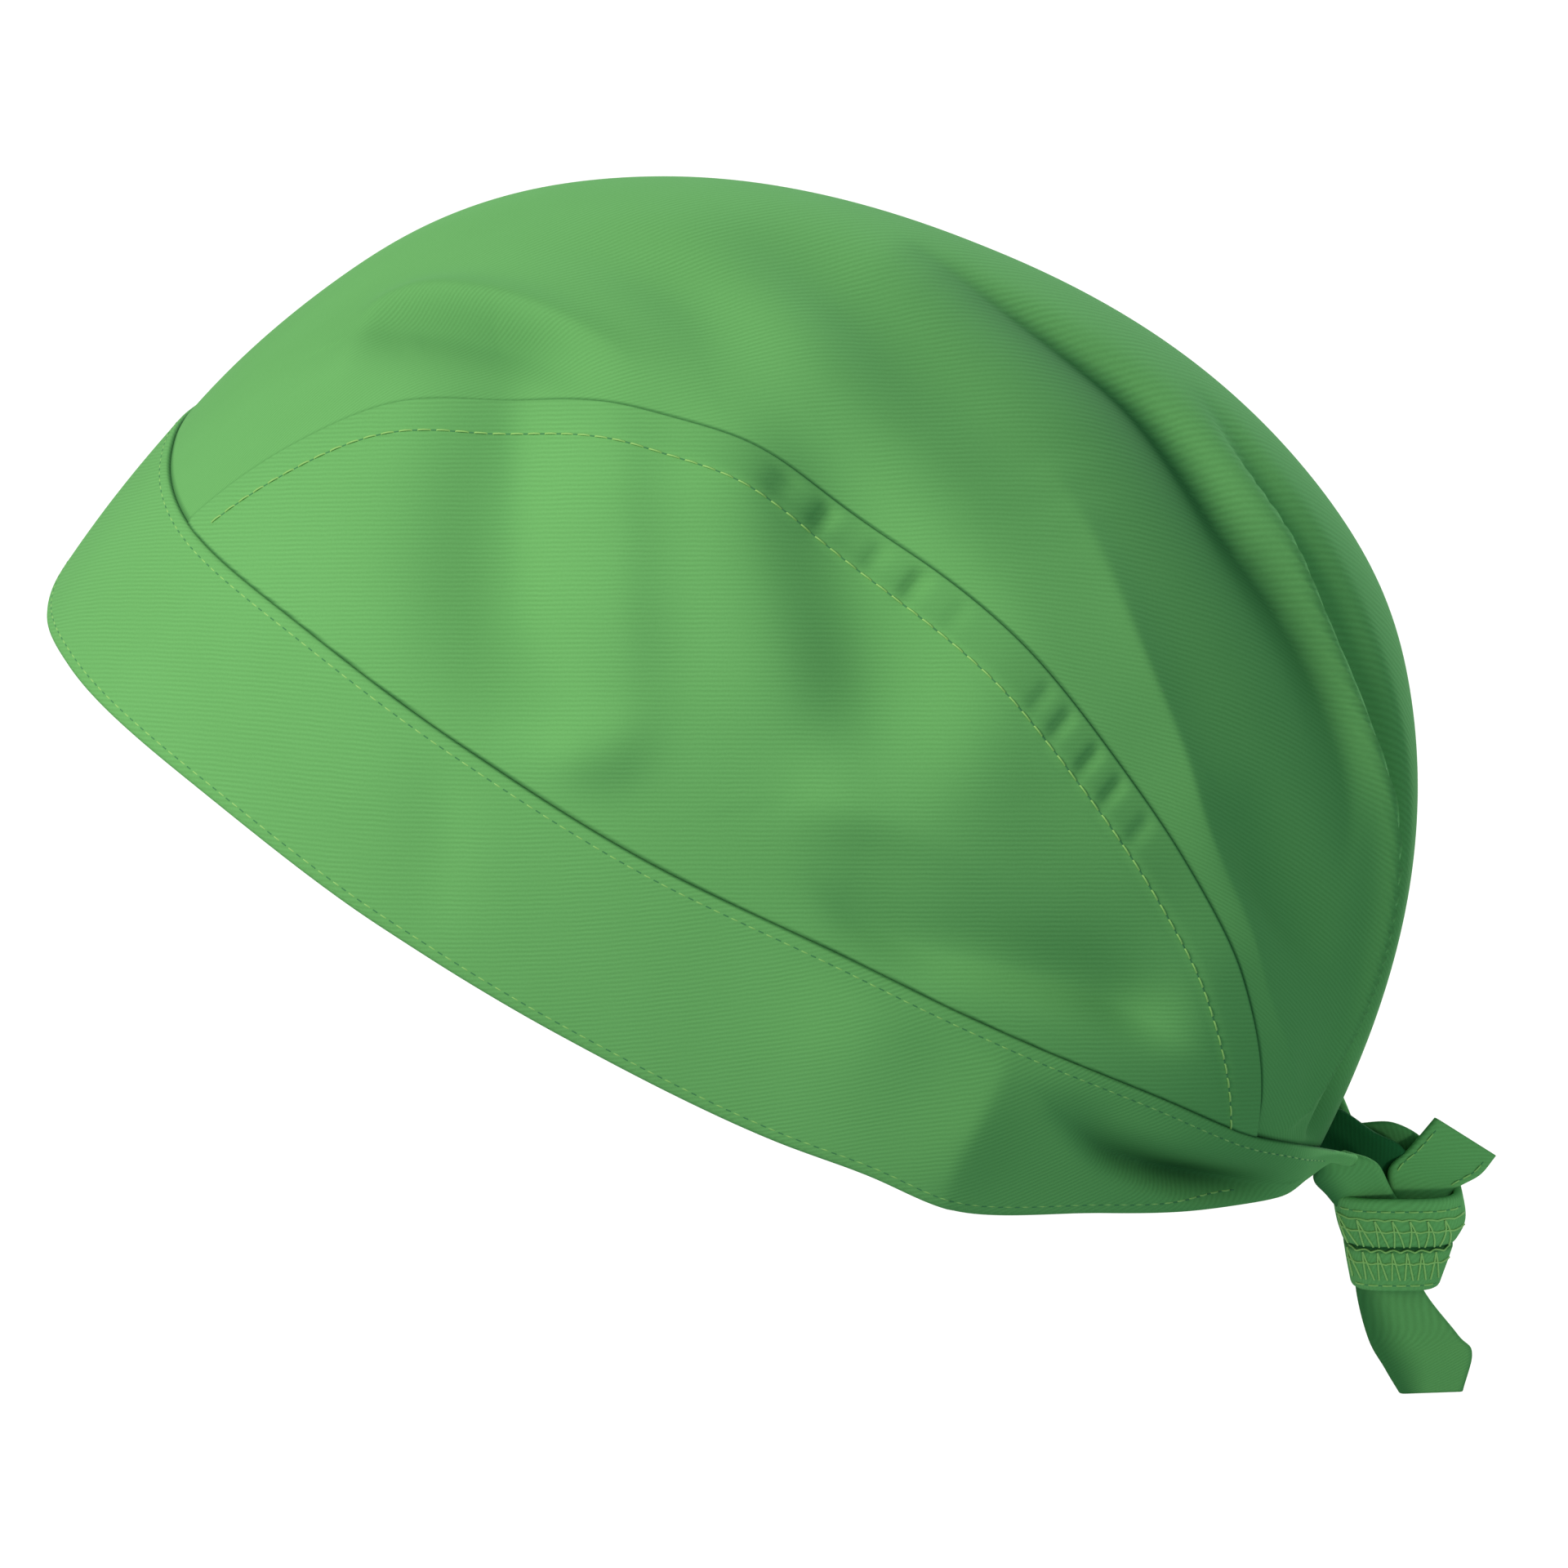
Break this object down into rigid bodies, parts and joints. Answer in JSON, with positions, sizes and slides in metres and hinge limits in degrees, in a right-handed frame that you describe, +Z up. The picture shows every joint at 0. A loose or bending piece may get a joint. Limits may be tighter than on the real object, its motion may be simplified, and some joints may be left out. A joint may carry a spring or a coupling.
{
  "type": "chef bandana",
  "caption": "Tied cloth head cover for kitchen work: domed crown and side panels sewn to a headband whose ties are knotted at the nape.",
  "frame": {"origin": "middle of the head opening, in the plane of the rim, where the bandana sits on a head", "axes": "+Z up as worn, -Y to the front of the head, +X to the wearer's left; the rim drops from forehead to nape"},
  "size_m": [0.1616, 0.2219, 0.1932],
  "materials": {
    "green_twill": "matte woven twill"
  },
  "bodies": {
    "root": {"headband": "green_twill", "crown_panel": "green_twill", "side_panel_left": "green_twill", "side_panel_right": "green_twill", "tie_left": "green_twill", "tie_right": "green_twill"}
  },
  "joints": []
}
